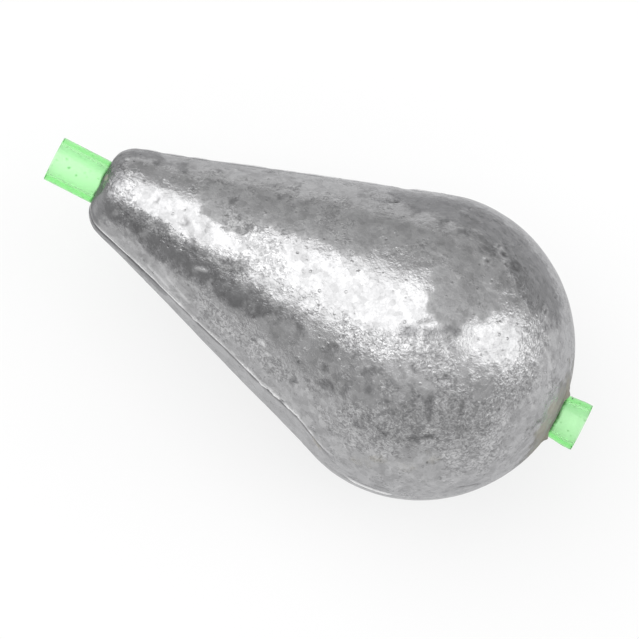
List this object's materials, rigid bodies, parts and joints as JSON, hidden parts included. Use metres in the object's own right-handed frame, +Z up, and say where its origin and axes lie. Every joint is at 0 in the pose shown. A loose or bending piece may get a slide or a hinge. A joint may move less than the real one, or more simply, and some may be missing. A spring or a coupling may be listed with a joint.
{
  "type": "fishing sinker",
  "caption": "Pear-shaped cast lead running sinker with a straight through bore and a soft plastic line tube standing proud at both ends.",
  "frame": {"origin": "on the axis of the bore, at the centre of the lead's ball end", "axes": "+X along the bore from the nose to the ball end, the mould's parting plane in XY, +Z up"},
  "size_m": [0.0382, 0.0202, 0.02],
  "materials": {
    "cast_lead": "as-cast lead with a dull oxide skin and brighter rubbed places",
    "soft_tube": "translucent green soft plastic tube, smooth, cut square"
  },
  "bodies": {
    "lead": {"lead_body": "cast_lead"},
    "tube": {"line_tube": "soft_tube"}
  },
  "joints": [
    {"name": "tube_slide", "type": "slide", "parent": "lead", "child": "tube", "axis": [1, 0, 0], "range_m": [-0.0009, 0.0358]}
  ]
}
